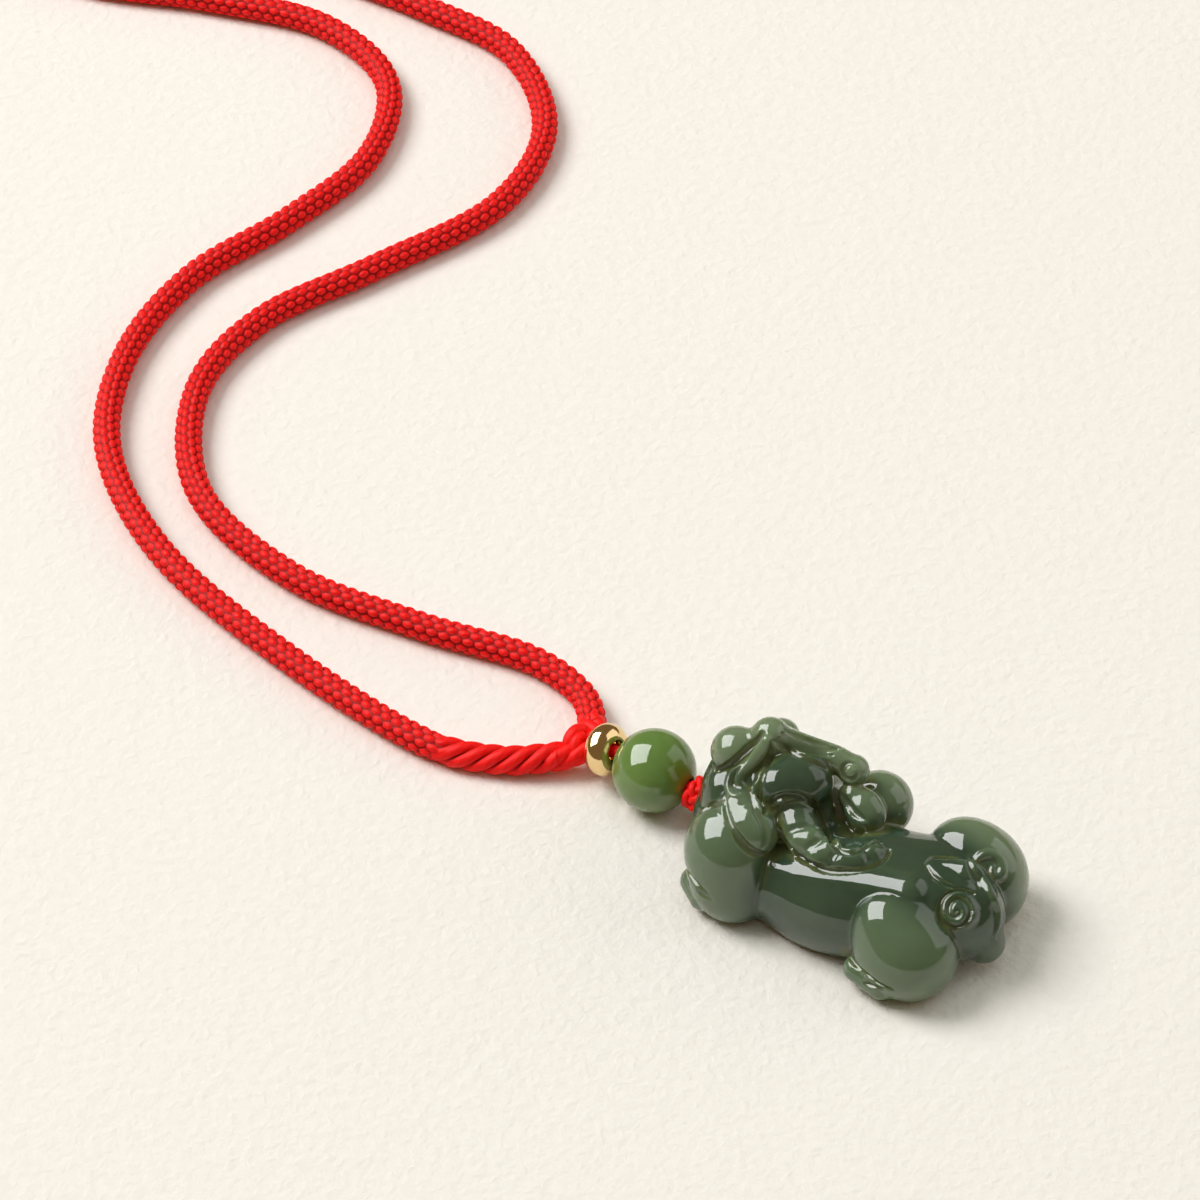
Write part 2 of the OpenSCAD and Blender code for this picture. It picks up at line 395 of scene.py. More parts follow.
def build_braid():
    group, tree, given, gives = new_group(
        "GeometryNodeTree", "round_braid",
        {
            "Geometry": GEOMETRY, "Steps": INT, "Fine steps": FLOAT, "Coarse steps": FLOAT, "Step": FLOAT,
            "Core": FLOAT, "Rise": FLOAT, "Bulge": FLOAT, "Rope length": FLOAT, "Rope turn": FLOAT,
            "Rope core": FLOAT, "Rope rise": FLOAT, "Silk": MATERIAL,
        },
        {"Geometry": GEOMETRY},
    )
    route = tree.add("GeometryNodeMeshToCurve", {0: given["Geometry"]})
    tube = tree.add(
        "GeometryNodeMeshCylinder",
        {"Vertices": COLUMNS * CELL_SIDES, "Side Segments": given["Steps"], "Radius": 1.0, "Depth": 1.0},
        fill_type="NGON",
    )

    # How far along the cord each ring is. The stretch outside the picture gets longer steps.
    here = tree.add("ShaderNodeSeparateXYZ", {0: tree.add("GeometryNodeInputPosition")})
    round_x, round_y, height = here.node.outputs
    ring = tree.math("ROUND", tree.times(tree.plus(height, 0.5), given["Steps"]))
    past = tree.math("MAXIMUM", tree.minus(ring, given["Fine steps"]), 0.0)
    ring = tree.plus(ring, tree.math("MINIMUM", past, given["Coarse steps"]))
    s = tree.times(ring, given["Step"])

    # The cell: which column, and where in the cell, from -1 to 1 both ways
    angle = tree.math("ARCTAN2", round_y, round_x)
    column = tree.math("MULTIPLY_ADD", angle, COLUMNS / TURN, 0.5)
    row = tree.math("DIVIDE", ring, float(CELL_STEPS))
    nearest = tree.math("ROUND", column)
    across = tree.times(tree.minus(column, nearest), 2.0)
    ahead = tree.math("MULTIPLY_ADD", nearest, 0.5, row)
    along = tree.times(tree.minus(ahead, tree.math("ROUND", ahead)), 2.0)

    def dome(value):
        square = tree.times(value, value)
        return tree.math("MAXIMUM", tree.minus(1.0, square), 0.0)

    cell = tree.math("POWER", tree.times(dome(across), dome(along)), 0.5)

    # The ply of the rope, 1 in the rope and 0 in the braid
    rope = tree.add(
        "ShaderNodeMapRange",
        {
            "Value": s,
            "From Min": tree.times(given["Rope length"], 1.2),
            "From Max": tree.times(given["Rope length"], 0.85),
        },
        interpolation_type="SMOOTHSTEP",
    )
    ply_at = tree.times(angle, PLIES / TURN)
    ply_across = tree.times(tree.minus(tree.math("FRACT", ply_at), 0.5), 2.0)
    ply = tree.math("POWER", dome(ply_across), 0.5)

    def blend(braided, roped):
        return tree.add("ShaderNodeMix", {0: rope, 2: braided, 3: roped})

    lift = blend(
        tree.math("MULTIPLY_ADD", cell, given["Rise"], given["Core"]),
        tree.math("MULTIPLY_ADD", ply, given["Rope rise"], given["Rope core"]),
    )
    sway = tree.math("SINE", tree.times(column, math.pi))
    sway = tree.times(sway, tree.math("COSINE", tree.times(row, TURN)))
    bulge = tree.times(given["Bulge"], TURN / COLUMNS)
    bulge = tree.times(bulge, tree.minus(1.0, rope))
    roped_s = tree.math("MINIMUM", s, given["Rope length"])
    twist = tree.times(tree.math("DIVIDE", roped_s, given["Rope turn"]), TURN)
    wound = tree.plus(tree.math("MULTIPLY_ADD", sway, bulge, angle), twist)

    # The frame of the route at this place
    place = tree.add(
        "GeometryNodeSampleCurve", {0: route, "Length": s}, mode="LENGTH", use_all_curves=True,
    ).node.outputs
    middle, way = place["Position"], place["Tangent"]
    side = tree.vector("NORMALIZE", tree.vector("CROSS_PRODUCT", way, (0, 0, 1)))
    up = tree.vector("CROSS_PRODUCT", side, way)
    cosine, sine = tree.math("COSINE", wound), tree.math("SINE", wound)
    out = tree.vector("ADD", tree.vector("SCALE", side, cosine), tree.vector("SCALE", up, sine))
    spot = tree.vector("ADD", middle, tree.vector("SCALE", out, lift))

    # Kept for the silk's fibres: round the yarn, and along it in millimetres
    yarn_across = blend(across, ply_across)
    yarn = tree.add(
        "ShaderNodeCombineXYZ",
        {0: yarn_across, 1: tree.math("POWER", dome(yarn_across), 0.5), 2: tree.times(s, 1 / MM)},
    )
    # How far down in a gap between cells each point lies, kept for the silk's painted shade
    gap = tree.minus(1.0, blend(cell, ply))
    marked = tube
    for label, value, kind in (("yarn", yarn, "FLOAT_VECTOR"), ("gap", gap, "FLOAT")):
        stored = {"Geometry": marked, "Name": label, "Value": value}
        marked = tree.add("GeometryNodeStoreNamedAttribute", stored, data_type=kind, domain="POINT")
    moved = tree.add("GeometryNodeSetPosition", {"Geometry": marked, "Position": spot})
    smooth = tree.add("GeometryNodeSetShadeSmooth", {0: moved})
    ready = tree.add("GeometryNodeRealizeInstances", {0: smooth})
    dressed = tree.add("GeometryNodeSetMaterial", {"Geometry": ready, "Material": given["Silk"]})
    tree.feed(gives, {"Geometry": dressed})
    return group


braid_group = build_braid()
print("braid group of", len(braid_group.nodes), "nodes")

# %% Lay the braid along the route
FINE_STEPS, COARSE_STEPS, LAST_STEPS = 960, 432, 810
ROUTE_POINTS = 1100
# Lengths are in metres here; the bulge is the part of a column's width that a cell sways
BRAID_SHAPE = {
    "Core": 0.00108, "Rise": 0.00034, "Bulge": 0.14,
    "Rope length": 0.011, "Rope turn": ROPE_TURN * MM, "Rope core": 0.00078, "Rope rise": 0.00066,
}
braid_step = cord_length / (FINE_STEPS + 2 * COARSE_STEPS + LAST_STEPS)
route_points = even_line(cord_route, ROUTE_POINTS)
edges = [(i, i + 1) for i in range(len(route_points) - 1)]
route_mesh = bpy.data.meshes.new("neck_braid")
route_mesh.from_pydata([tuple(p) for p in route_points * MM], edges, [])
braid = bpy.data.objects.new("neck_braid", route_mesh)
bpy.context.scene.collection.objects.link(braid)
run_group(braid, braid_group, {
    **BRAID_SHAPE,
    "Steps": FINE_STEPS + COARSE_STEPS + LAST_STEPS,
    "Fine steps": float(FINE_STEPS),
    "Coarse steps": float(COARSE_STEPS),
    "Step": braid_step * MM,
    "Silk": silk,
})
print("braid", len(braid.data.polygons), "faces, cells", round(CELL_STEPS * braid_step, 2), "mm long")
print("braid box", points_of(braid).min(0).round(1), points_of(braid).max(0).round(1))


# %% [markdown]
# ## Knot and wrap
# A small knot keeps the bead off the beast's chest. It is one yarn that weaves over and under itself round
# the thread, as in a button knot: it runs three times round while it swings seven times from side to side.
# Behind the spacer a plump ply is wound round both ends of the cord to tie them together, and the ends' own
# plies run on into the spacer. All are made as a line with a tube round it, whose points carry the same
# attribute as the braid's yarns, so the silk suits them too.

# %% Wind yarn round the thread
CHEST_MOUTH = np.array([-15.0, 0, 3.6])
BEAD_D = 8.0
KNOT_T = 1.6
PLAY = 0.12
bead_middle = np.array([CHEST_MOUTH[0] - 2 * PLAY - KNOT_T - BEAD_D / 2, 0, BEAD_D / 2])
bead_front = bead_middle + [BEAD_D / 2, 0, 0]


def unit(v):
    return v / np.linalg.norm(v, axis=-1, keepdims=True)


knot_way = unit(bead_front - CHEST_MOUTH)
knot_middle = CHEST_MOUTH + knot_way * (KNOT_T / 2 + PLAY)


def spokes(way, angle):
    """Directions straight away from an axis or a line, each at its angle round it."""
    side = unit(np.cross(way, [0.0, 0.0, 1.0]))
    up = np.cross(side, way)
    return np.cos(angle)[:, None] * side + np.sin(angle)[:, None] * up


def round_axis(middle, way, along, radius, angle):
    """Places round an axis, each given by its way along it, its distance from it and its angle."""
    return middle + np.outer(along, way) + np.asarray(radius)[:, None] * spokes(way, angle)


YARN_SIDES = 12


def make_yarn(name, yarns, middle, way):
    """Tubes of yarn round an axis, each given by its line, half width, half thickness and closedness."""
    sides = YARN_SIDES
    points, marks, faces, first = [], [], [], 0
    for line, wide, thick, closed in yarns:
        count = len(line)
        if closed:
            heading = unit(np.roll(line, -1, axis=0) - np.roll(line, 1, axis=0))
        else:
            heading = unit(np.gradient(line, axis=0))
        spoke = line - middle
        spoke = spoke - np.outer(spoke @ way, way)
        across = unit(np.cross(spoke, heading))
        out = np.cross(heading, across)
        run = run_along(line)
        for k in range(sides):
            c, d = math.cos(TURN * k / sides), math.sin(TURN * k / sides)
            points.append(line + wide[:, None] * c * across + thick[:, None] * d * out)
            marks.append(np.column_stack([np.full(count, c), np.full(count, d), run]))
        for i in range(count if closed else count - 1):
            j = (i + 1) % count
            for k in range(sides):
                m = (k + 1) % sides
                ring = (k * count + i, k * count + j, m * count + j, m * count + i)
                faces.append(tuple(first + corner for corner in ring))
        if not closed:
            faces.append(tuple(first + k * count for k in range(sides)))
            faces.append(tuple(first + k * count + count - 1 for k in reversed(range(sides))))
        first += sides * count
    made = make_object(name, np.concatenate(points), faces)
    layer = made.data.attributes.new("yarn", "FLOAT_VECTOR", "POINT")
    layer.data.foreach_set("vector", np.concatenate(marks).ravel())
    made.data.materials.append(silk)
    return made


# %% Tie the knot
KNOT_STEPS, ROUNDS, SWINGS = 560, 3, 7
KNOT_R, KNOT_OVER, KNOT_REACH = 1.28, 0.15, 0.6
KNOT_WIDE, KNOT_THICK = 0.36, 0.32
turn = np.linspace(0, TURN * ROUNDS, KNOT_STEPS, endpoint=False)
swing = turn * SWINGS / ROUNDS
knot_line = round_axis(
    knot_middle, knot_way, KNOT_REACH * np.cos(swing), KNOT_R + KNOT_OVER * np.sin(2 * swing), turn,
)
full = np.ones(KNOT_STEPS)
knot_yarns = [(knot_line, KNOT_WIDE * full, KNOT_THICK * full, True)]
knot = make_yarn("bead_knot_yarn", knot_yarns, knot_middle, knot_way)
print("knot yarn", round(line_length(knot_line), 1), "mm long", len(knot.data.polygons), "faces")

# %% Wind the wrap
SPACER_T, WRAP_D = 2.7, 4.4
WRAP_BACK, WRAP_LIFT = 4.5, 0.2
WRAP_STEPS, WRAP_TURNS, WRAP_START, WRAP_RUN = 160, 1.45, 1.2, 1.1
bead_back = bead_middle - [BEAD_D / 2 + PLAY, 0, 0]
wrap_middle = np.array([bead_back[0] - WRAP_BACK, 0, WRAP_D / 2 + WRAP_LIFT])
spacer_way = unit(wrap_middle - bead_back)
spacer_middle = bead_back + spacer_way * (SPACER_T / 2 + PLAY)
share = np.linspace(0, 1, WRAP_STEPS)
plump = np.sin(math.pi * np.clip(share, 0.02, 0.98)) ** 0.35
wrap_angle = TURN * WRAP_TURNS * share + WRAP_START
loop_line = round_axis(wrap_middle, spacer_way, (share - 0.5) * WRAP_RUN, 0.7 + 0.68 * plump, wrap_angle)
yarns = [(loop_line, 0.30 + 0.36 * plump, 0.28 + 0.34 * plump, False)]

# %% Run both ends' plies on into the spacer, growing thin on the way
TAIL_STEPS, MOUTH_DEPTH = 60, 0.7
TAIL_OUT, TAIL_THICK = (0.72, 0.45), (0.70, 0.42)
mouth = spacer_middle + spacer_way * (SPACER_T / 2 - MOUTH_DEPTH)
for cord_end, before in ((cord_route[0], cord_route[1]), (cord_route[-1], cord_route[-2])):
    end_way = unit(cord_end - before)
    tail_points = [cord_end - end_way, cord_end, cord_end + end_way * 1.1, mouth + spacer_way * 0.7, mouth]
    tail_line = even_line(smooth_line(tail_points, 20), TAIL_STEPS)
    tail_way = unit(np.gradient(tail_line, axis=0))
    run = run_along(tail_line) - 1.0
    fade = np.clip(run / run[-1], 0, 1) ** 1.5
    out = TAIL_OUT[0] - TAIL_OUT[1] * fade
    thick = TAIL_THICK[0] - TAIL_THICK[1] * fade
    for k in range(PLIES):
        angle = TURN * ((k + 0.5) / PLIES - run / ROPE_TURN)
        yarns.append((tail_line + out[:, None] * spokes(-tail_way, angle), thick, thick, False))
wrap = make_yarn("cord_wrap_yarn", yarns, wrap_middle, spacer_way)
print("wrap of", len(yarns), "yarns at", wrap_middle.round(2), "spacer at", spacer_middle.round(2))


# %% [markdown]
# ## Carving by distances
# Jade is ground away until swelling, rounded forms are left, which flow into each other in some places and
# meet in a crisp crease in others. A distance field describes that well: it says for every point in space how
# far the stone's surface is. Rods and balls are joined with a soft or a hard blend, and fine lines are cut or
# raised afterwards with the same tools. Joining meshes would leave sharp seams and broken shading instead.

# %% Distances to simple shapes


def cone_distance(p, start, way, start_r, end_r):
    """The exact distance to a rod whose ends are balls of two sizes."""
    length = max(np.linalg.norm(way), 1e-6)
    grow = np.clip((end_r - start_r) / length, -0.9, 0.9)
    offset = p - start
    along = offset @ (way / length)
    aside = np.sqrt(np.maximum((offset * offset).sum(1) - along**2, 0))
    foot = np.clip(along + aside * grow / math.sqrt(1 - grow * grow), 0, length)
    return np.hypot(along - foot, aside) - (start_r + grow * foot)


def rod(start, start_r, end, end_r):
    """A rod with round ends: its distance, and the corners of its box."""
    a, b = np.array(start, float), np.array(end, float)
    way = b - a

    def distance(p):
        return cone_distance(p, a, way, start_r, end_r)

    reach = max(start_r, end_r)
    return distance, np.minimum(a, b) - reach, np.maximum(a, b) + reach


def ball(middle, radii):
    """A ball, or an egg where three radii are given."""
    middle = np.array(middle, float)
    radii = np.array(radii, float) * np.ones(3)

    def distance(p):
        q = (p - middle) / radii
        size = np.linalg.norm(q, axis=1)
        steep = np.linalg.norm(q / radii, axis=1)
        return np.where(steep > 1e-6, size * (size - 1) / np.maximum(steep, 1e-6), -radii.min())

    return distance, middle - radii, middle + radii


def strand(points, radii):
    """A round stroke along many points, whose radius may change on the way."""
    p0 = np.array(points, float)
    r0 = np.interp(np.linspace(0, 1, len(p0)), np.linspace(0, 1, len(radii)), radii)

    def distance(p):
        best = np.full(len(p), AWAY)
        for a, b, ra, rb in zip(p0[:-1], p0[1:], r0[:-1], r0[1:]):
            best = np.minimum(best, cone_distance(p, a, b - a, ra, rb))
        return best

    return distance, p0.min(0) - r0.max(), p0.max(0) + r0.max()


def flank(points, radii):
    """A long swelling body whose middle and radius change smoothly along the beast's length."""
    line = smooth_line([(*point, radius) for point, radius in zip(points, radii)], 40)
    x_line = line[:, 0]

    def distance(p):
        x = np.clip(p[:, 0], x_line[0], x_line[-1])
        y, z, r = [np.interp(x, x_line, line[:, k]) for k in (1, 2, 3)]
        return np.sqrt((p[:, 0] - x) ** 2 + (p[:, 1] - y) ** 2 + (p[:, 2] - z) ** 2) - r

    low, high = line[:, :3] - line[:, 3:], line[:, :3] + line[:, 3:]
    return distance, low.min(0), high.max(0)


FAR = 99.0
BELOW_TABLE = (lambda p: p[:, 2]), np.full(3, -FAR), np.array([FAR, FAR, 0.0])


def soft_min(a, b, blend):
    """The nearer of two distances, rounded where both are nearly the same."""
    h = np.maximum(blend - np.abs(a - b), 0) / blend
    return np.minimum(a, b) - h**3 * blend / 6


MARGIN = 0.9
CHUNK = 20000
AWAY = 9.0


def work(f, p, shape, blend, cut=False):
    """Add a shape to the distances f at the points p, or cut it away."""
    distance, low, high = shape
    low, high = low - blend - MARGIN, high + blend + MARGIN
    if np.any(p.min(0) > high) or np.any(p.max(0) < low):
        return
    pick = np.flatnonzero(np.all((p > low) & (p < high), axis=1))
    if len(pick):
        d = distance(p[pick])
        f[pick] = -soft_min(-f[pick], d, blend) if cut else soft_min(f[pick], d, blend)


# %% [markdown]
# ## The beast's masses
# The beast lies with its legs drawn in and turns its head to its right. Each mass below is a list of shapes
# that flow together softly, and the last number of the mass says how crisp its edge against the others is.
# The left flank's upper edge is a ridge of its own, because it catches the window's light in one long band.

# %% List the masses


def spread(points, gap):
    """More points on a smooth curve through the given ones, which are places or picture points."""
    points = np.array(points, float)
    if points.shape[1] == 2:
        points = np.column_stack([points, np.zeros(len(points))])
    line = smooth_line(points, 12)
    return even_line(line, max(int(line_length(line) / gap) + 1, 3))


MIRROR = np.array([1, -1, 1])


def flipped(shape):
    """The mirror image of a shape on the beast's other side."""
    distance, low, high = shape
    corners = np.array([low, high]) * MIRROR
    return (lambda p: distance(p * MIRROR)), corners.min(0), corners.max(0)


MASSES = []


def mass(name, shapes, inner, outer):
    """A mass: its shapes, the blend between them, and the blend with the masses before it."""
    MASSES.append((name, shapes, inner, outer))


LEFT_FLANK = [(-6, -4.4, 3.1), (-3.6, -4.0, 3.4), (0.4, -3.4, 3.7), (4.0, -2.85, 4.2), (9, -1.6, 4.6)]
LEFT_FLANK_R = [4.1, 4.4, 5.45, 5.7, 5.2]
RIGHT_FLANK = [(-6, 3.8, 3.4), (0, 2.6, 3.8), (4, 1.6, 4.2), (9, 2.6, 4.7)]
SPINE = [(-6, 0, 4.8), (0, -0.4, 4.4), (5, -0.2, 5.0), (11, 0.4, 5.4)]
trunk = [
    flank(LEFT_FLANK, LEFT_FLANK_R),
    flank(RIGHT_FLANK, [4.2, 4.2, 4.3, 4.6]),
    flank(SPINE, [4.4, 4.1, 4.3, 4.5]),
    ball((12.6, 0.4, 5), 4.4),
]
mass("trunk", trunk, 2.0, 1.0)

# Stone that faces this way mirrors the window to the camera
KEY_NORMAL = np.array([-0.121, -0.452, 0.884])
SHOULDER_R = 2.5
SHOULDER_SHIFT = np.array([-0.07, 0.03, 0.30])
SHOULDER_TIP = np.array([8.76, -3.96, 10.11])
shoulder = [
    np.array(spot) + KEY_NORMAL * (radius - SHOULDER_R) + SHOULDER_SHIFT
    for spot, radius in zip(LEFT_FLANK[1:4], LEFT_FLANK_R[1:4])
]
shoulder.append(SHOULDER_TIP - KEY_NORMAL * SHOULDER_R)
mass("left shoulder line", [flank(shoulder, [SHOULDER_R] * 4)], 0.5, 0.4)

mass("chest", [rod((-10.8, -0.6, 4.8), 4.3, (-9.9, -0.6, 9.6), 4.0)], 1.0, 1.2)
left_haunch_top = rod((8.4, -5.5, 6.7), 2.7, (9.5, -4.9, 6.5), 2.7)
left_haunch = [ball((9.6, -4.9, 4.8), 4.3), ball((11.0, -5.2, 3.9), 4.7), left_haunch_top]
right_haunch = [ball((9.4, 5.8, 6.6), 2.85), ball((11.1, 5.7, 5.2), 4.1), ball((11.6, 5.5, 3.9), 4.6)]
mass("left haunch", left_haunch, 2.0, 0.3)
mass("right haunch", right_haunch, 3.0, 0.3)
mass("left hind paw", [rod((7.5, -8.3, 2.1), 1.35, (10.2, -8.4, 1.8), 1.5)], 0.3, 0.25)
mass("right hind paw", [rod((8.4, 8.9, 1.9), 1.5, (11.6, 8.8, 1.8), 1.6)], 0.3, 0.25)
mass("left foreleg", [ball((-8.3, -6.1, 7.0), 4.05), ball((-7.3, -6.5, 3.2), 4.1)], 4.0, 0.35)
mass("right foreleg", [ball((-8.4, 5.2, 6.2), 3.5), ball((-7.6, 6.2, 3.2), 3.8)], 4.0, 0.35)
forepaw = rod((-10.7, -8.0, 2.2), 1.4, (-9.2, -8.8, 1.8), 1.4)
mass("forepaws", [forepaw, flipped(forepaw)], 0.3, 0.25)
mass("right shoulder", [ball((0.4, 5.9, 7.2), 3.2)], 0.3, 0.35)

mass("skull", [rod((-8.5, 1.5, 11.5), 3.3, (-9.4, 2.2, 10.0), 3.2)], 1.0, 0.35)
dome_top = rod((-6.0, -1.5, 12.3), 2.2, (-5.4, 0.6, 11.4), 3.4)
mass("dome", [ball((-5.5, -0.3, 8.9), (4.1, 3.9, 3.9)), dome_top], 0.8, 1.0)
mass("cheek", [rod((-10.3, -3.0, 8.2), 2.8, (-11.1, -1.4, 8.9), 2.8)], 0.3, 0.5)
nose = rod((-11.2, 0.8, 9.0), 2.9, (-11.9, 3.4, 8.6), 2.5)
jaw = rod((-10.4, 2.8, 6.6), 1.9, (-12.0, 3.9, 6.5), 1.6)
mass("muzzle", [nose, jaw], 0.5, 0.5)
mass("brows", [ball((-11.25, -0.75, 13.1), 2.35), ball((-9.6, 4.3, 11.6), 1.8)], 0.3, 0.35)
crown_front = rod((-8.7, 1.1, 14.6), 1.5, (-9.9, 0.2, 13.9), 1.5)
mass("crown", [ball((-8.75, 1.15, 15.2), (1.7, 1.7, 1.5)), crown_front], 1.0, 0.8)
mass("hair", [rod((-8.6, 1.6, 14.6), 1.4, (-5.6, 3.3, 12.6), 1.5)], 0.5, 0.5)

mass("tail leaf", [rod((9.3, 0.5, 9.5), 0.4, (12.4, 1.6, 8.9), 1.5)], 0.3, 0.2)
mass("tail lobe", [rod((14.5, 0.9, 7.5), 1.7, (15.6, 0.3, 3.0), 2.0)], 0.3, 0.3)
mass("tail disc", [ball((13.7, -1.4, 7.6), (2.1, 2.1, 1.7))], 0.3, 0.2)
print(len(MASSES), "masses of", sum(len(row[1]) for row in MASSES), "shapes")

# A dip in the back behind the head, and how softly it is cut
HOLLOW = rod((-1.2, -0.2, 10.2), 1.6, (0.6, 0.8, 9.4), 1.5)
HOLLOW_BLEND = 0.5


def masses_field(p):
    """The distance from the points to the stone before its lines are cut."""
    f = np.full(len(p), AWAY)
    for _, shapes, inner, outer in MASSES:
        g = np.full(len(p), AWAY)
        for shape in shapes:
            work(g, p, shape, inner)
        close = g < AWAY - 0.1
        f[close] = soft_min(f[close], g[close], outer)
    work(f, p, HOLLOW, HOLLOW_BLEND, cut=True)
    return f


# %% [markdown]
# ## From distances to a mesh
# The field is measured on a coarse grid first, and on a fine one only near the surface. Each fine cell that
# the surface passes through gets one point, and neighbouring points are joined to four-sided faces. A few
# steps down the field's own slope then bring every point exactly onto the surface, which keeps the polished
# stone free of the grid's ripples. Blender's voxel remesher would need the shapes as meshes first.

# %% Turn a field into a mesh


def measure(field, p):
    parts = [field(p[i : i + CHUNK]) for i in range(0, len(p), CHUNK)]
    return np.concatenate(parts) if parts else np.zeros(0)


SLOPE_STEP = 0.03


def slope(field, p):
    """The direction in which the distance grows, at each point."""
    shifts = np.eye(3) * SLOPE_STEP
    rise = [measure(field, p + shift) - measure(field, p - shift) for shift in shifts]
    return np.column_stack(rise) / (2 * SLOPE_STEP)


def settle(field, p, rounds, far=0.25):
    """Moves points along the slope onto the surface."""
    for _ in range(rounds):
        g = slope(field, p)
        d = measure(field, p)[:, None]
        p = p - np.clip(d / np.maximum((g * g).sum(1, keepdims=True), 0.2), -far, far) * g
    return p


HALF_DIAGONAL = 0.87


def fine_grid(field, low, high, cell, block):
    """The field on a fine grid, measured only in the blocks that the surface may pass through."""
    counts = (np.ceil((high - low) / cell / block).astype(int) + 1) * block
    corners = [low[k] + (np.arange(counts[k] // block) + 0.5) * block * cell for k in range(3)]
    middles = np.stack(np.meshgrid(*corners, indexing="ij"), -1).reshape(-1, 3)
    rough = measure(field, middles)
    reach = block * cell * HALF_DIAGONAL + 2 * cell
    values = np.repeat(np.where(rough > 0, AWAY, -AWAY), block**3).reshape(-1, block, block, block)
    near = np.flatnonzero(np.abs(rough) < reach * 1.25)
    steps = (np.arange(block) + 0.5 - block / 2) * cell
    inner = np.stack(np.meshgrid(steps, steps, steps, indexing="ij"), -1).reshape(-1, 3)
    fine = measure(field, (middles[near][:, None] + inner).reshape(-1, 3))
    values[near] = fine.reshape(-1, block, block, block)
    blocks = counts // block
    values = values.reshape(*blocks, block, block, block).transpose(0, 3, 1, 4, 2, 5).reshape(counts)
    return values, low + 0.5 * cell


def net(values, start, cell):
    """One point for each cell that the surface passes through, and the faces between them."""
    shape = np.array(values.shape)
    total = int(shape.prod())
    strides = np.array([shape[1] * shape[2], shape[2], 1])
    sums, hits, faces = np.zeros((total, 3)), np.zeros(total), []
    for axis in range(3):
        a, b = [k for k in range(3) if k != axis]
        f0, f1 = np.delete(values, -1, axis), np.delete(values, 0, axis)
        where = np.argwhere((f0 < 0) != (f1 < 0))
        v0, v1 = f0[tuple(where.T)], f1[tuple(where.T)]
        crossing = where.astype(float)
        crossing[:, axis] += v0 / (v0 - v1)
        index = where @ strides
        corners = [index, index - strides[a], index - strides[a] - strides[b], index - strides[b]]
        for corner in corners:
            for k in range(3):
                sums[:, k] += np.bincount(corner, crossing[:, k], total)
            hits += np.bincount(corner, minlength=total)
        quads = np.stack(corners, 1)
        turn = (v0 < 0) == (axis == 1)
        quads[turn] = quads[turn][:, ::-1]
        faces.append(quads)
    faces = np.concatenate(faces)
    used = np.flatnonzero(hits)
    number = np.zeros(total, int)
    number[used] = np.arange(len(used))
    return start + sums[used] / hits[used][:, None] * cell, number[faces]


# %% [markdown]
# ## Lines drawn on the stone
# The carver's fine lines were copied from the picture as short lists of picture points. Each one is sent
# along its line of sight until it meets the stone, so a line lies on the surface wherever it is looked at
# from. Lines on the hidden sides are given as places on the stone, or as mirror images.

# %% Bring lines onto the stone


def soften(points, rounds):
    """Evens out small jumps along a line."""
    for _ in range(rounds):
        points[1:-1] = (points[:-2] + 2 * points[1:-1] + points[2:]) / 4
    return points


SIGHT_TOP, SIGHT_STEPS = 20.0, 70


def touch(field, pixels):
    """Where the lines of sight through picture points meet the stone."""
    rays = np.array([view_ray(pixel) for pixel in pixels])
    way = (eye[2] - SIGHT_TOP) / -rays[:, 2]
    for _ in range(SIGHT_STEPS):
        way += np.clip(measure(field, eye + rays * way[:, None]) * 0.7, -0.3, 1.5)
    return eye + rays * way[:, None]


# %% [markdown]
# ## The lines of the carving
# Each line has a width and a depth. A groove is cut with a round tool whose middle runs just above the
# surface, and a ridge is a round bar of stone whose middle runs just below it. A tool that gets finer
# towards both ends leaves the tapering strokes that hand work shows.

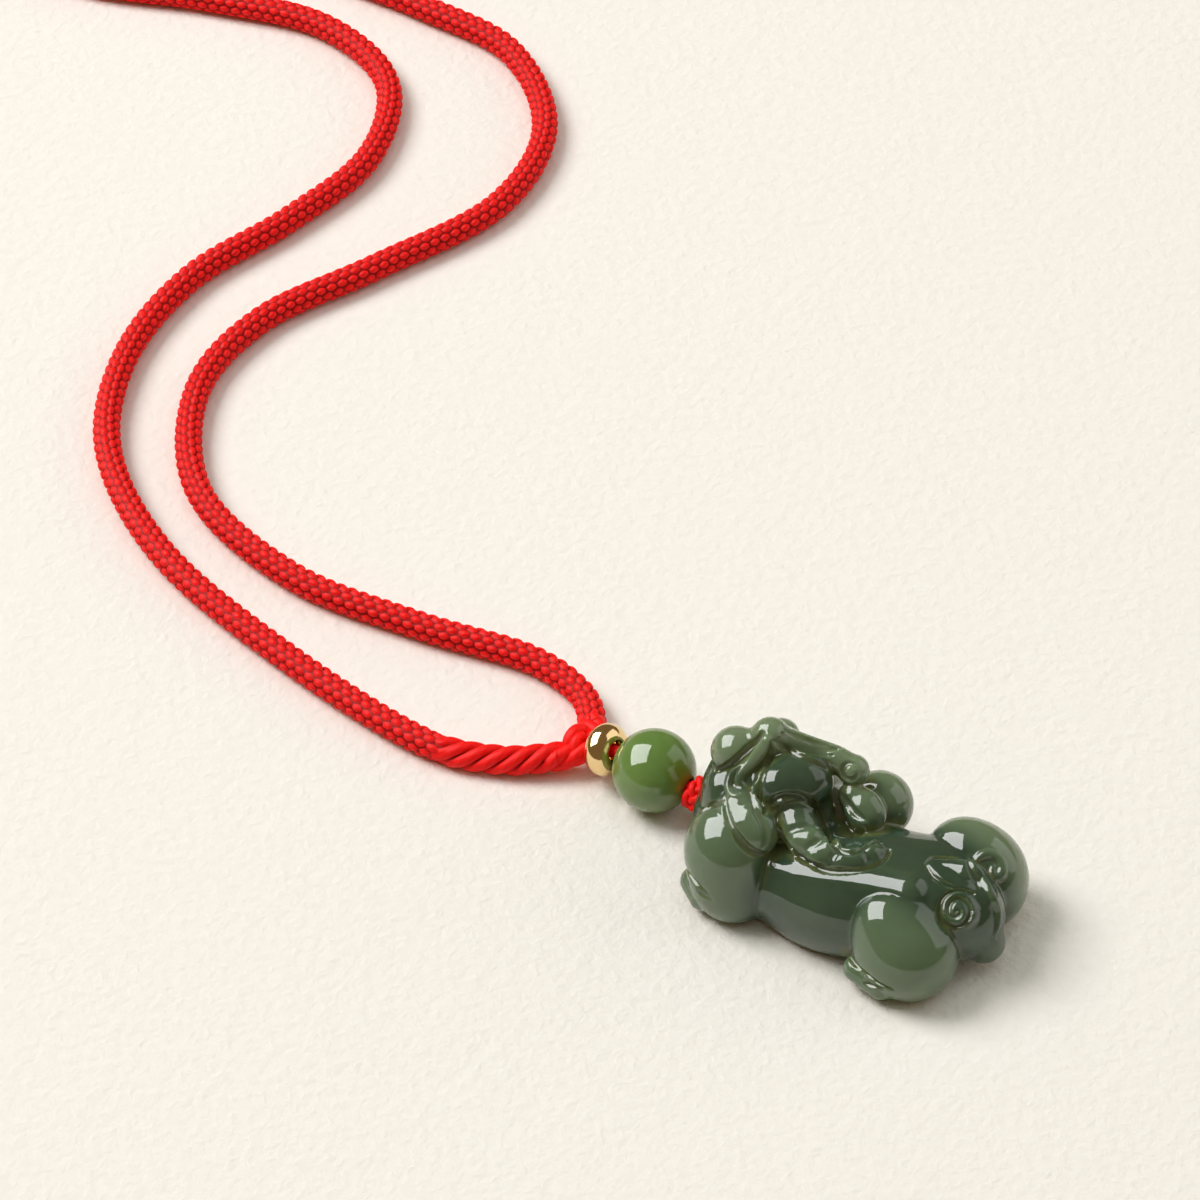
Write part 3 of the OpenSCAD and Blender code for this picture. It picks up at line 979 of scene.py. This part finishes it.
# %% List the lines that the picture shows
GROOVES = {
    # name: (width, depth, picture points)
    "forepaw toe": (0.7, 0.4, [(684, 862), (688, 873), (696.3, 883.6), (705, 893), (711, 900)]),
    "forepaw toe end": (0.5, 0.25, [(697, 890), (704, 897), (711, 899)]),
    "brow fold": (1.0, 0.6, [(717, 770), (724, 768), (732, 764), (743.5, 754), (757, 741), (762, 733)]),
    "dome rim": (0.9, 0.45, [(764, 813), (767, 806), (775, 799), (789.5, 795.6), (804, 798), (818, 804)]),
    "dome left rim": (0.8, 0.45, [(771.5, 742), (768.5, 760), (760.5, 779), (760, 797), (763, 808)]),
    "dome right rim": (0.9, 0.5, [(774, 741), (792, 751), (811, 760.5), (827, 769)]),
    "hair 1": (0.6, 0.4, [(778, 737.5), (790, 744), (804, 750), (818, 753), (832, 755)]),
    "hair 2": (0.8, 0.5, [(782, 733.5), (795.6, 741), (808, 746), (822, 748), (838, 748)]),
    "hair 3": (0.8, 0.5, [(785, 729), (799, 736.5), (813, 741), (828, 744.5)]),
    "horn ring": (0.5, 0.25, [
        (858, 771), (856, 777.5), (850, 780.5), (844, 777.5), (842, 771), (844, 765), (850, 762),
        (856, 765), (858, 770),
    ]),
    "ear hollow": (0.8, 0.35, [(752, 806), (757, 814), (763, 824), (766.5, 839), (763, 847)]),
    "ear edge": (0.6, 0.4, [(725, 797), (724.5, 806), (727, 816), (731, 826), (736, 833)]),
    "ear lower edge": (0.9, 0.5, [(731, 826), (737, 836), (745, 846), (755, 853), (765, 854.5), (773, 848)]),
    "foreleg top": (0.7, 0.35, [(699, 814), (706, 808), (715, 803.5), (723, 803)]),
    "right ear hollow": (0.9, 0.4, [(842, 794), (847, 804), (855, 814), (865, 820)]),
    "wing edge": (0.8, 0.5, [
        (784, 804), (778.5, 812), (777.2, 823), (783, 839), (796, 854), (814, 866), (833, 870.6),
        (854, 870), (873, 866.5), (886.4, 858.5), (889, 850),
    ]),
    "wing inside": (0.8, 0.45, [
        (784, 804), (799, 800.5), (815, 804.6), (820, 819), (831, 838), (840, 850), (854, 852.3),
        (870, 842.7), (878, 840),
    ]),
    "wing fold 1": (0.9, 0.09, [(785, 833), (797, 829.5), (812, 826)]),
    "wing fold 2": (0.9, 0.08, [(803, 849), (814, 844), (826, 838)]),
    "wing fold 3": (0.9, 0.08, [(829, 860), (835, 854), (840, 848)]),
    "hind toe 1": (0.7, 0.4, [(850, 957), (858, 967), (869, 977), (881, 985), (893, 990)]),
    "hind toe 2": (0.5, 0.3, [(865, 983), (874, 986), (884, 990)]),
    "tail tip upper": (0.5, 0.3, [(926, 863), (933, 857), (950, 857.5), (968, 859)]),
    "tail tip lower": (0.5, 0.3, [(926, 864), (929.5, 872), (935, 878), (946, 884), (956, 887)]),
    "tail end crease": (0.6, 0.35, [(968, 860), (972.5, 872), (979, 887)]),
    "disc spiral": (0.55, 0.35, [
        (955.5, 911.5), (957, 907.5), (960.5, 909.5), (961, 914), (957, 918), (951, 916.5), (947.5, 910),
        (950, 902), (957, 897.5), (965, 899.5), (970.5, 907), (970, 917), (963, 925.5), (952, 928),
        (942.5, 922), (938.5, 911), (941.5, 899.5), (950, 891.5), (962, 889.5), (974, 894),
    ]),
}
RIDGES = {
    "outer hook": (0.6, 0.3, [
        (744, 757), (735, 768), (729, 779), (727.7, 789), (731.4, 795.6), (737.4, 796.8), (742, 794),
    ]),
    "ear root": (0.8, 0.4, [(757.5, 782), (755.5, 792), (757, 803), (761, 812)]),
    "right band": (0.9, 0.4, [
        (970, 859), (979, 870), (986, 884), (994, 900), (998, 915), (996, 930), (992, 938), (995, 941),
    ]),
    "right curl": (1.1, 0.5, [
        (975, 862), (981, 855.5), (990, 853), (998, 856.5), (1002.5, 865), (1001, 875), (995.5, 878.5),
        (991.5, 873), (993.5, 866.5),
    ]),
}
print(len(GROOVES), "grooves and", len(RIDGES), "ridges")


# %% [markdown]
# ## Horns, ears and wing
# The horns stand on the head as strands whose thickness changes along them, and so do the ears and the wing.
# Round swellings on them stand where the picture shows a shine, each of the shine's own size.

# %% Shape the horns and the wing
RIGHT_HORN = [
    (-8.1, 1.7, 15.0), (-6.7, 2.1, 14.6), (-5.0, 2.9, 13.7), (-3.15, 3.75, 12.95), (-1.45, 4.1, 12.25),
]
RIGHT_HORN_R = [0.9, 1.1, 1.25, 1.3, 1.3]
HORN_END_R = 1.5
LEFT_HORN = [(767, 740), (759, 753), (748, 765), (738.6, 775), (734, 783), (737, 787.5), (742, 785)]
LEFT_HORN_R = [0.5, 0.65, 0.7, 0.6, 0.45, 0.35, 0.3]
LEFT_HORN_SUNK = -0.15
WING = [(795, 819), (805, 838), (821, 853), (850, 861), (880, 853)]
WING_HEIGHTS = [9.7, 9.2, 9.0, 9.3, 9.6]
WING_R = [1.85, 1.75, 1.35, 0.95, 0.7]
EAR = [(742, 799), (745, 814), (752, 829), (762, 844)]
EAR_R = [1.6, 2.4, 2.2, 1.4]
EAR_SUNK = 0.62
RIGHT_EAR = [(853, 796), (863, 808)]
RIGHT_EAR_HEIGHTS = [10.3, 9.4]
RIGHT_EAR_R = [1.4, 1.7]
WING_BLEND, EAR_BLEND, LEFT_HORN_BLEND, RIGHT_HORN_BLEND, SWELL_BLEND = 0.3, 0.2, 0.25, 0.2, 0.4


def at_heights(pixels, heights):
    """The places at these heights that picture points show."""
    rays = np.array([view_ray(pixel) for pixel in pixels])
    return eye + rays * (np.array(heights) - eye[2])[:, None] / rays[:, 2:]


def outward(field, places):
    """The direction straight out of the stone at each place."""
    return unit(slope(field, places))


def laid(field, pixels, radii, sunk):
    """Places for a strand laid on the stone through picture points, sunk by a share of its radius."""
    places = touch(field, pixels)
    return places - outward(field, places) * np.array(radii)[:, None] * sunk


SWELLS = {
    # name: (picture points of the shine, radius, how far it stands out)
    "cheek": ([(721, 780), (720, 790)], 2.5, 0.3),
    "wing 1": ([(791, 816), (793, 821)], 1.8, 0.3),
    "wing 2": ([(798, 836), (806, 837)], 1.4, 0.4),
    "wing 3": ([(815, 851), (825, 848)], 1.5, 0.35),
    "wing 4": ([(840, 858), (853, 856.5)], 1.2, 0.3),
    "wing 5": ([(868, 851), (871, 847)], 1.0, 0.25),
    "ear": ([(742, 817), (747, 822)], 2.4, 0.4),
    "right ear": ([(858, 802), (861, 807)], 1.9, 0.3),
}


def swell(field, pixels, radius, stands):
    """A round swelling that catches the window's light where the picture shows it."""
    places = touch(field, pixels)
    return rod(*[part for spot in places for part in (spot - KEY_NORMAL * (radius - stands), radius)])


def with_shapes(field, shapes, blend):
    """The field of the stone with more shapes on it."""

    def joined(p):
        f = field(p)
        for shape in shapes:
            work(f, p, shape, blend)
        return f

    return joined


wing_line = at_heights(WING, WING_HEIGHTS)
winged = with_shapes(masses_field, [strand(spread(wing_line, 0.5), WING_R)], WING_BLEND)
ear_line = laid(masses_field, EAR, EAR_R, EAR_SUNK)
right_ear_line = at_heights(RIGHT_EAR, RIGHT_EAR_HEIGHTS)
ears = [strand(spread(ear_line, 0.4), EAR_R), strand(spread(right_ear_line, 0.4), RIGHT_EAR_R)]
winged = with_shapes(winged, ears, EAR_BLEND)
horn_line = soften(spread(laid(masses_field, LEFT_HORN, LEFT_HORN_R, LEFT_HORN_SUNK), 0.4), 12)
winged = with_shapes(winged, [strand(horn_line, LEFT_HORN_R)], LEFT_HORN_BLEND)
right_horn = [strand(spread(RIGHT_HORN, 0.4), RIGHT_HORN_R), ball(RIGHT_HORN[-1], HORN_END_R)]
winged = with_shapes(winged, right_horn, RIGHT_HORN_BLEND)
winged = with_shapes(winged, [swell(winged, *row) for row in SWELLS.values()], SWELL_BLEND)
print("wing from", wing_line[0].round(1).tolist(), "to", wing_line[-1].round(1).tolist())


# %% [markdown]
# ## The face
# The picture doesn't show the face, so a plain one is given: two eyes under the brows, two nostrils and the
# line of a closed mouth. Each place is told from the crown, and then moved onto the stone.

# %% Give the hidden side a plain face
CROWN = np.array([-8.75, 1.15, 0.0])
AHEAD, ASIDE = np.array([-0.8, 0.6, 0.0]), np.array([0.6, 0.8, 0.0])
EYES = [(-1.9, 2.9, 11.4), (1.0, 4.2, 10.2)]
EYE_R, NOSTRIL_R, MOUTH_R = 0.8, 0.4, 0.5
EYE_BLEND = 0.15
NOSTRILS = [(-0.7, 6.3, 9.2), (0.7, 6.3, 9.2)]
MOUTH = [(-2.9, 3.2, 7.6), (-1.8, 5.0, 7.3), (0.0, 6.2, 7.2), (1.8, 5.0, 7.3), (2.6, 3.6, 7.6)]


def on_face(places):
    """Places given as (to the side, ahead, height), moved onto the stone."""
    return settle(winged, np.array([CROWN + ASIDE * a + AHEAD * b + [0, 0, c] for a, b, c in places]), 12)


eye_places, nostril_places = on_face(EYES), on_face(NOSTRILS)
mouth_line = on_face(spread(MOUTH, 0.5))
winged = with_shapes(winged, [ball(place, EYE_R) for place in eye_places], EYE_BLEND)
print("eyes", eye_places.round(1).tolist(), "nostrils", nostril_places.round(1).tolist())


# %% [markdown]
# ## The finished stone
# Each line is brought onto the stone, and its tool is run along it a little above or below the surface. The
# paws' lines are made on the beast's other side too. The flat underside is cut last.

# %% Bring the lines onto the stone and make the finished field
OTHER_SIDE = {
    # name: how far the mirror image is moved to suit the other side's mass
    "forepaw toe": (0, 0, 0),
    "forepaw toe end": (0, 0, 0),
    "hind toe 1": (1.2, 0.5, -0.1),
    "hind toe 2": (1.2, 0.5, -0.1),
}
TAPER = np.array([0.45, 0.8, 1.0, 1.0, 1.0, 0.8, 0.45])
RIDGE_BLEND, GROOVE_BLEND, BASE_BLEND = 0.25, 0.2, 0.6
cuts, bars = [], []
for table, shapes, side in ((GROOVES, cuts, 1), (RIDGES, bars, -1)):
    for name, (width, depth, pixels) in table.items():
        dense = spread(pixels, 2.5)[:, :2]
        places = soften(touch(winged, dense), 4)
        middle = places + side * outward(winged, places) * (width / 2 - depth)
        radii = TAPER * width / 2
        shapes.append(strand(middle, radii))
        if name in OTHER_SIDE:
            shapes.append(strand(middle * MIRROR + OTHER_SIDE[name], radii))
cuts += [ball(place, NOSTRIL_R) for place in nostril_places]
cuts.append(strand(mouth_line, TAPER * MOUTH_R))
print(len(cuts), "cuts and", len(bars), "raised bars")


def carved_field(p):
    """The distance to the finished stone."""
    f = winged(p)
    for shape in bars:
        work(f, p, shape, RIDGE_BLEND)
    for shape in cuts:
        work(f, p, shape, GROOVE_BLEND, cut=True)
    work(f, p, BELOW_TABLE, BASE_BLEND, cut=True)
    return f


# %% Make the carving's mesh
CELL, BLOCK, BOX_MARGIN = 0.18, 4, 0.8
box_low, box_high = node_box("pixiu_carving")
values, start = fine_grid(carved_field, box_low - BOX_MARGIN, box_high + BOX_MARGIN, CELL, BLOCK)
carving_points, carving_faces = net(values, start, CELL)
carving_points = settle(carved_field, carving_points, 2, CELL)
carving = make_object("jade_beast", carving_points, carving_faces.tolist())
print("carving", len(carving_points), "points")
print("carving box", carving_points.min(0).round(2), carving_points.max(0).round(2))


# %% [markdown]
# ## Dark jade
# The stone is a dark bluish green that light enters a little way. That glow is painted in: thin places and
# limbs are painted paler, the stone beside a crease gets a painted olive glow, and the top of the head and the
# beast's right side get a painted paler glow too. The polish is like glass. Four numbers at every point of the
# mesh say how thin the stone is there, how far the place stands out from the trunk, how much painted glow the
# head and right side get there, and how deep it lies in a crease. They come from the same distances that
# shaped the stone.

# %% Measure thin places, limbs, the painted glow of head and side, and creases
THIN_DEPTH, LIMB_REACH, CREASE_REACH = 2.6, 2.2, 1.3
# Where the painted glow on the top of the head and on the right side begins, and how fast it grows
PALE_ABOVE, PALE_RISE = 11.0, 2.5
PALE_BESIDE, PALE_RUN, PALE_SIDE = 4.0, 3.0, 0.6


def keep_number(obj, name, values):
    layer = obj.data.attributes.new(name, "FLOAT", "POINT")
    layer.data.foreach_set("value", np.asarray(values, np.float32))


def core_field(p):
    """The distance to the trunk, chest and dome alone."""
    f = np.full(len(p), AWAY)
    for name, shapes, inner, _ in MASSES:
        if name in ("trunk", "chest", "dome"):
            for shape in shapes:
                work(f, p, shape, inner)
    return f


out = outward(carved_field, carving_points)
thin = 1 + measure(carved_field, carving_points - out * THIN_DEPTH) / THIN_DEPTH
# How deep each point lies in a crease, for the painted olive glow there
crease_glow = 1 - measure(carved_field, carving_points + out * CREASE_REACH) / CREASE_REACH
from_core = np.clip(measure(core_field, carving_points), 0, LIMB_REACH)
# Painted glow on the top of the head away from the core, and on the beast's right side
head_painted_glow = np.clip((carving_points[:, 2] - PALE_ABOVE) / PALE_RISE, 0, 1) * np.clip(from_core, 0, 1)
side_painted_glow = np.clip((carving_points[:, 1] - PALE_BESIDE) / PALE_RUN, 0, 1) * PALE_SIDE
keep_number(carving, "thin", np.clip(thin, 0, 1))
keep_number(carving, "limb", from_core / LIMB_REACH)
keep_number(carving, "painted_glow", np.maximum(head_painted_glow, side_painted_glow))
keep_number(carving, "crease_glow", np.clip(crease_glow, 0, 1))
print("thin", thin.mean().round(2), "crease_glow", crease_glow.mean().round(2))

# %% Make the jade
DARK_STONE = (0.030, 0.058, 0.034, 1)
LIGHT_STONE = (0.056, 0.092, 0.050, 1)
PALE = (0.130, 0.190, 0.103, 1)
# Colour of the painted glow on the head and the right side
PALEST_GLOW = (0.215, 0.275, 0.155, 1)
# Colour of the painted olive glow beside creases
OLIVE_GLOW = (0.165, 0.180, 0.055, 1)


def make_jade(name, dark, light, size, tints):
    """Polished jade. Each tint is an attribute, the values where it starts and ends, its share and colour."""
    material, tree, shader = new_material(name)
    clouds = tree.add(
        "ShaderNodeGroup", {"Dark": dark, "Light": light, "Size": size, "Amount": 0.8},
        node_tree=stone_clouds,
    ).node.outputs
    colour = clouds["Color"]
    for attribute, low, high, most, tint in tints:
        amount = tree.add("ShaderNodeAttribute", out=2, attribute_name=attribute)
        eased = tree.add(
            "ShaderNodeMapRange", {"Value": amount, "From Min": low, "From Max": high, "To Max": most},
            interpolation_type="SMOOTHSTEP",
        )
        colour = tree.mix(eased, colour, tint)
    rough = tree.add("ShaderNodeMapRange", {"Value": clouds["Clouds"], "To Min": 0.03, "To Max": 0.06})
    place = tree.add("ShaderNodeTexCoord", out=3)
    tree.feed(shader, {
        "Base Color": colour,
        "Roughness": rough,
        "Normal": tree.bump(0.04, 0.00005, tree.noise(place, 900.0, 2.0)),
        "IOR": 1.62,
        "Subsurface Weight": 0.5,
        "Subsurface Radius": (0.5, 1.0, 0.6),
        "Subsurface Scale": 0.0012,
    })
    return material


dark_jade = make_jade(
    "dark_jade_stone", DARK_STONE, LIGHT_STONE, 130.0,
    [
        # Limbs and thin places painted paler, then the painted glow on the head and the right side
        ("limb", 0.0, 1.0, 0.8, PALE), ("thin", 0.2, 0.9, 0.4, PALE), ("painted_glow", 0.0, 1.0, 0.6, PALEST_GLOW),
        # Painted olive glow beside creases
        ("crease_glow", 0.2, 0.9, 0.6, OLIVE_GLOW),
    ],
)
carving.data.materials.append(dark_jade)
print("jade", dark_jade.name)

# %% [markdown]
# ## Bead and spacer
# Both are turned round their bore, so a profile is drawn once and spun. The rim of a real bore is rounded by
# the polishing, and that soft edge is what the eye looks for. The bead's jade is lighter and yellower than
# the beast's, and it has an olive patch where the knot lies against it. The spacer is plated brass, polished.

# %% Turn the bead and the spacer
BORE_R = 0.8
SPIN_STEPS = 96


def turned(name, middle, way, profile):
    """A closed profile of (along, radius) spun round an axis."""
    count = len(profile)
    points, faces = [], []
    for k in range(SPIN_STEPS):
        angle = np.full(count, TURN * k / SPIN_STEPS)
        points.append(round_axis(middle, way, profile[:, 0], profile[:, 1], angle))
        m = (k + 1) % SPIN_STEPS
        for i in range(count):
            j = (i + 1) % count
            faces.append((k * count + i, m * count + i, m * count + j, k * count + j))
    made = make_object(name, np.concatenate(points), faces)
    work_mesh = bmesh.new()
    work_mesh.from_mesh(made.data)
    bmesh.ops.recalc_face_normals(work_mesh, faces=work_mesh.faces)
    work_mesh.to_mesh(made.data)
    work_mesh.free()
    return made


def lip(x, size):
    """The rounded rim from a face at x into the bore."""
    t = np.linspace(0, math.pi / 2, 7)
    return np.column_stack([x - size * (1 - np.cos(t)), BORE_R + size * (1 - np.sin(t))])


BEAD_R, BEAD_LIP = BEAD_D / 2, 0.22
BORE_RINGS = 10
rim = math.asin((BORE_R + BEAD_LIP) / BEAD_R)
arc = np.linspace(math.pi - rim, rim, 72)
outside = np.column_stack([BEAD_R * np.cos(arc), BEAD_R * np.sin(arc)])
front_lip = lip(BEAD_R * math.cos(rim), BEAD_LIP)[1:]
bore_along = np.linspace(front_lip[-1, 0], -front_lip[-1, 0], BORE_RINGS + 2)[1:-1]
bore = np.column_stack([bore_along, np.full(BORE_RINGS, BORE_R)])
back_lip = (front_lip * [-1, 1])[::-1]
bead_profile = np.concatenate([outside, front_lip, bore, back_lip])
bead = turned("round_bead", bead_middle, np.array([1.0, 0, 0]), bead_profile)

SPACER_R, SPACER_WAIST = 2.55, 1.25
turn = np.linspace(0, TURN, 64, endpoint=False)
depth = np.where(np.sin(turn) > 0, SPACER_R - SPACER_WAIST, SPACER_WAIST - BORE_R)
donut = np.column_stack([SPACER_T / 2 * np.cos(turn), SPACER_WAIST + depth * np.sin(turn)])
spacer = turned("round_spacer", spacer_middle, spacer_way, donut)
print("bead", len(bead.data.polygons), "faces, spacer", len(spacer.data.polygons), "faces")

# %% Give the bead its jade
BEAD_DARK = (0.110, 0.200, 0.040, 1)
BEAD_LIGHT = (0.165, 0.265, 0.072, 1)
BEAD_OLIVE = (0.200, 0.220, 0.020, 1)
# Painted light: the lower half of the bead is tinted paler with this colour
BEAD_LOWER_GLOW = (0.150, 0.210, 0.085, 1)
PATCH_PIXEL, PATCH_REACH = (682, 778), 2.4
bead_points = points_of(bead)
patch_spot = touch(ball(bead_middle, BEAD_R)[0], [PATCH_PIXEL])[0]
patch = 1 - np.linalg.norm((bead_points - patch_spot) * [1, 1, 0.75], axis=1) / PATCH_REACH
keep_number(bead, "patch", np.clip(patch, 0, 1))
# How low each point of the bead lies, for the painted paler lower half
keep_number(bead, "low", np.clip(1 - bead_points[:, 2] / BEAD_D, 0, 1))
green_jade = make_jade(
    "green_jade_stone", BEAD_DARK, BEAD_LIGHT, 110.0,
    [("low", 0.35, 0.8, 0.6, BEAD_LOWER_GLOW), ("patch", 0.05, 0.8, 0.85, BEAD_OLIVE)],
)
bead.data.materials.append(green_jade)
print("patch at", patch_spot.round(1))

# %% Give the spacer its gold
GOLD_DARK = (0.80, 0.56, 0.26, 1)
GOLD_LIGHT = (0.92, 0.70, 0.38, 1)


def make_gold():
    material, tree, shader = new_material("polished_gold_plate")
    place = tree.add("ShaderNodeTexCoord", out=3)
    rubbed = tree.noise(place, 500.0, 3.0)
    rough = tree.add("ShaderNodeMapRange", {"Value": rubbed, "To Min": 0.06, "To Max": 0.14})
    tree.feed(shader, {
        "Base Color": tree.mix(rubbed, GOLD_DARK, GOLD_LIGHT),
        "Roughness": rough,
        "Normal": tree.bump(0.06, 0.00002, tree.noise(place, 4000.0, 3.0)),
        "Metallic": 1.0,
    })
    return material


spacer.data.materials.append(make_gold())
print("spacer dressed in", spacer.data.materials[0].name)

# %% [markdown]
# ## The thread
# The two ends of the cord run on through spacer, bead and knot as one thread. Only short bits of it show, so
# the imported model's own shape stays, and it gets the silk with its fibres laid along the thread's own run.

# %% Dress the thread


def thread_yarn(tree):
    place = tree.add("ShaderNodeTexCoord", out=3)
    parts = tree.add("ShaderNodeSeparateXYZ", {0: place}).node.outputs
    height = tree.plus(parts[2], -bead_middle[2] * MM)
    run = tree.times(parts[0], 1 / MM)
    return tree.add("ShaderNodeCombineXYZ", {0: parts[1], 1: height, 2: run})


thread = frame["nodes"]["hanging_thread"]
thread.data.materials.clear()
thread.data.materials.append(make_silk("thread_silk", thread_yarn))
print("thread dressed in", thread.data.materials[0].name)

# %% [markdown]
# ## The surface, the light and the finish
# The pendant lies on pale felted paper. One square window of light stands high to the left, and a weaker one
# to the right behind it. A ceiling lights the paper, but the polish doesn't mirror it, so the stone shows a
# dark upper half and a pale lower half. Faint warm light from all round tints the shadows.

# %% Make the floor
PAPER_DARK = (0.88, 0.83, 0.76, 1)
PAPER_LIGHT = (0.93, 0.89, 0.83, 1)


def make_floor():
    bpy.ops.mesh.primitive_plane_add(size=6)
    floor = bpy.context.object
    floor.name = "floor"
    material, tree, shader = new_material("felted_paper")
    place = tree.add("ShaderNodeTexCoord", out=3)
    fibres = tree.noise(place, 900.0, 6.0, Distortion=0.2)
    height = tree.math("MULTIPLY_ADD", tree.noise(place, 160.0, 3.0), 0.6, fibres)
    tree.feed(shader, {
        "Base Color": tree.mix(fibres, PAPER_DARK, PAPER_LIGHT),
        "Normal": tree.bump(0.8, 0.0003, height),
        "Roughness": 0.95,
        "Specular IOR Level": 0.0,
    })
    floor.data.materials.append(material)
    return floor


floor = make_floor()
print("floor", floor.data.materials[0].name)

# %% Set up the light


def window_light(name, direction, size, glow, distance=1.0, turn=0.0, lights=True, shows=True):
    """A window of light. Glow is its brightness; it may light things, show in polished ones, or both."""
    data = bpy.data.lights.new(name, "AREA")
    data.shape = "RECTANGLE"
    data.size, data.size_y = size
    data.energy = glow * size[0] * size[1]
    light = bpy.data.objects.new(name, data)
    bpy.context.scene.collection.objects.link(light)
    way = Vector(direction).normalized()
    light.location = way * distance
    facing = way.to_track_quat("Z", "Y") @ Quaternion((0, 0, 1), turn)
    light.rotation_euler = facing.to_euler()
    light.visible_diffuse = lights
    light.visible_glossy = shows
    return light


KEY_WAY = (-0.609, -0.176, 0.771)
SIDE_WAY = (0.570, 0.685, 0.459)
CEILING_COLOUR = (0.62, 0.77, 0.86)
AIR_COLOUR = (0.185, 0.135, 0.075, 1)
window_light("key", KEY_WAY, (0.75, 0.75), 31.5, distance=1.5, shows=False)
window_light("window", KEY_WAY, (1.0, 0.85), 24.0, lights=False)
window_light("side window", SIDE_WAY, (0.9, 0.9), 3.0, turn=math.radians(45))
overhead = window_light("overhead", (0.0, 0.0, 1.0), (3.0, 3.0), 3.1, distance=2.5, shows=False)
overhead.data.color = CEILING_COLOUR

world = bpy.data.worlds.new("studio")
bpy.context.scene.world = world
world.use_nodes = True
background = world.node_tree.nodes["Background"]
background.inputs["Color"].default_value = AIR_COLOUR
background.inputs["Strength"].default_value = 1.0
bpy.context.scene.view_settings.view_transform = "Standard"
print("lights", sorted(light.name for light in bpy.data.lights))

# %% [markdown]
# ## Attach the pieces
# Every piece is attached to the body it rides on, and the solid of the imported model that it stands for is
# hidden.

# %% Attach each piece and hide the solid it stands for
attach(carving, "root")
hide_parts("pixiu_carving")
for piece, node, slot in (
    (bead, "jade_bead", "green_jade"),
    (spacer, "gold_spacer", "gold"),
    (knot, "bead_knot", "red_cord"),
    (wrap, "cord_wrap", "red_cord"),
    (braid, "neck_cord", "red_cord"),
):
    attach(piece, "root")
    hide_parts(node)
